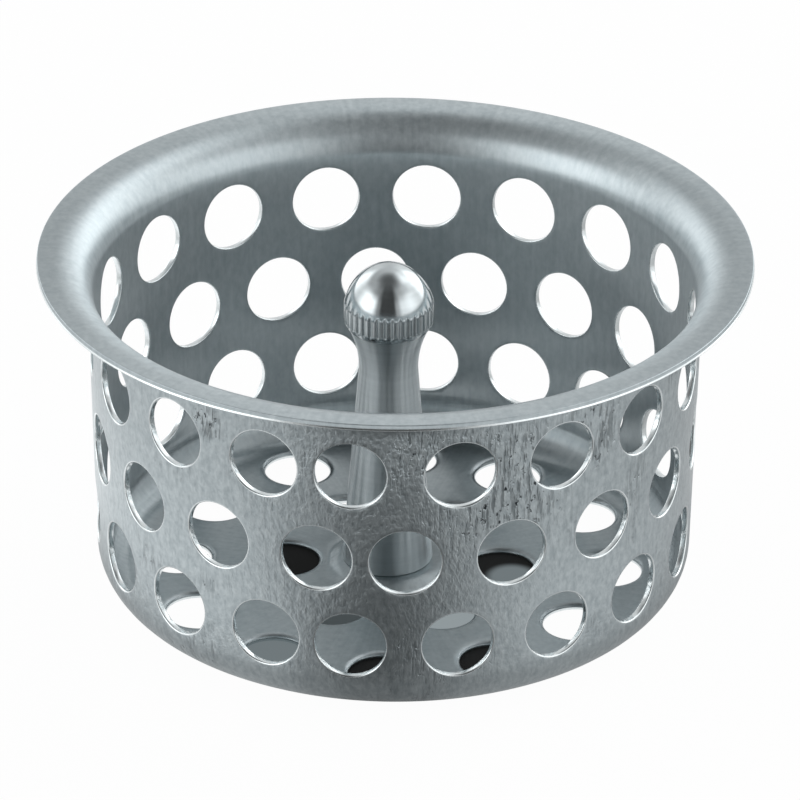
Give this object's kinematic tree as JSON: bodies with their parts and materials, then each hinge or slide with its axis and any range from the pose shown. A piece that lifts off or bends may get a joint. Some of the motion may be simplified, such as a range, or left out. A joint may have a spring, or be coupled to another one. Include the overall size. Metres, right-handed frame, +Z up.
{
  "type": "sink strainer",
  "caption": "Round drop-in sink strainer: a perforated drawn steel cup with a rolled rim, and a knurled lifting post riveted at the centre of its floor.",
  "frame": {"origin": "centre of the standing plane, on the cup's axis under its floor", "axes": "+Z up along the cup's axis towards the rim, -Y towards the pictured front"},
  "size_m": [0.0444, 0.0444, 0.0223],
  "materials": {
    "drawn_stainless": "brushed, fine upright grain",
    "turned_stainless": "turned and polished"
  },
  "bodies": {
    "root": {"strainer_cup": "drawn_stainless", "lift_post": "turned_stainless"}
  },
  "joints": []
}
